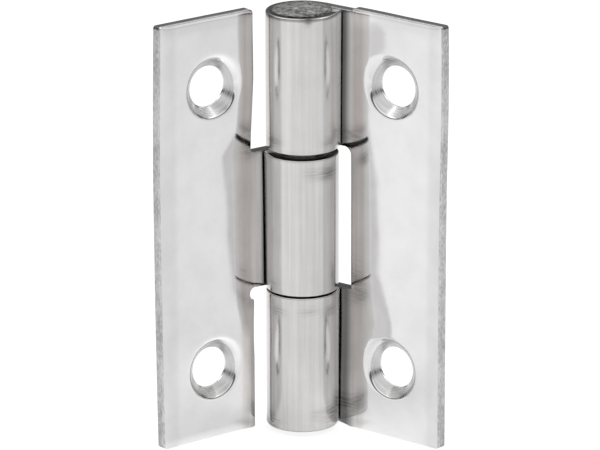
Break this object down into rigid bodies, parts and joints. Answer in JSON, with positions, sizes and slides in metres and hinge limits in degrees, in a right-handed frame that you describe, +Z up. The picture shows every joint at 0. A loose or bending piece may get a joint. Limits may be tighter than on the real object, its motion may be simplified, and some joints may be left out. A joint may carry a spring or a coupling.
{
  "type": "narrow butt hinge",
  "caption": "Narrow butt hinge of polished stainless sheet: leaves with countersunk screw holes and rolled knuckles on a pin that is peened into one leaf.",
  "frame": {"origin": "on the right leaf's mounting face, midway between its two screw holes", "axes": "+Z up along the pin, +X across the right leaf from the pin to its outer edge, -Y the side of the countersinks"},
  "size_m": [0.0207, 0.0167, 0.0401],
  "materials": {
    "left_leaf_steel": "polished stainless sheet",
    "right_leaf_steel": "polished stainless sheet",
    "pin_steel": "hammered stainless wire end"
  },
  "bodies": {
    "right_side": {"right_leaf": "right_leaf_steel", "pin": "pin_steel"},
    "left_side": {"left_leaf": "left_leaf_steel"}
  },
  "joints": [
    {"name": "leaf_swing", "type": "hinge", "parent": "right_side", "child": "left_side", "pos_m": [-0.00845, -0.00334, 0], "axis": [0, 0, 1], "range_deg": [-166, 104]}
  ]
}
